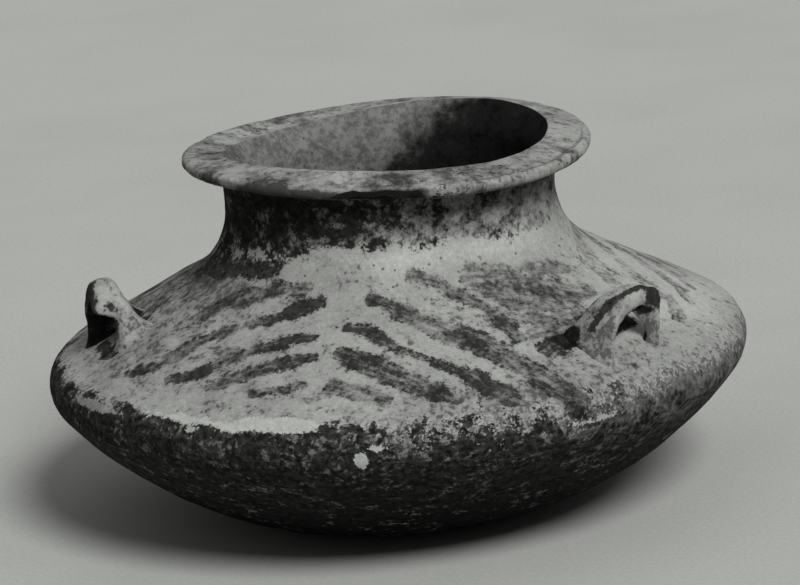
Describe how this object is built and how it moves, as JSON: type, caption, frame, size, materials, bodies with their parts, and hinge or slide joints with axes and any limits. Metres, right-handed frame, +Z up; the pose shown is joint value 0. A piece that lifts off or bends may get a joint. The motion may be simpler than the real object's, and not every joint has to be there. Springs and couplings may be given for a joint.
{
  "type": "pottery jar with lugs",
  "caption": "Squat hand-built pottery jar with a sharp belly, short hollow neck, flat ledge rim and arched cord lugs on a painted shoulder.",
  "frame": {"origin": "centre of the flat that the jar stands on, on the table", "axes": "+Z up along the jar's axis; +Y towards the lug that the picture hides; +X to the jar's right"},
  "size_m": [0.24, 0.24, 0.1285],
  "materials": {
    "dark_bowl": "matt fired clay, dark wash, scraped and worn",
    "bare_clay": "bare fired clay, finger smoothed",
    "painted_slip": "matt pale slip with dark brushed strokes, worn and pitted",
    "dark_neck": "matt dark band, blotched and flaking",
    "rim_slip": "matt pale slip, chipped and stained",
    "lug_slip": "matt pale slip with a dark band along the strap"
  },
  "bodies": {
    "root": {"base_bowl": "dark_bowl", "belly_seam_coil": "bare_clay", "shoulder": "painted_slip", "neck": "dark_neck", "ledge_rim": "rim_slip", "right_lug": "lug_slip", "left_lug": "lug_slip", "back_lug": "lug_slip"}
  },
  "joints": []
}
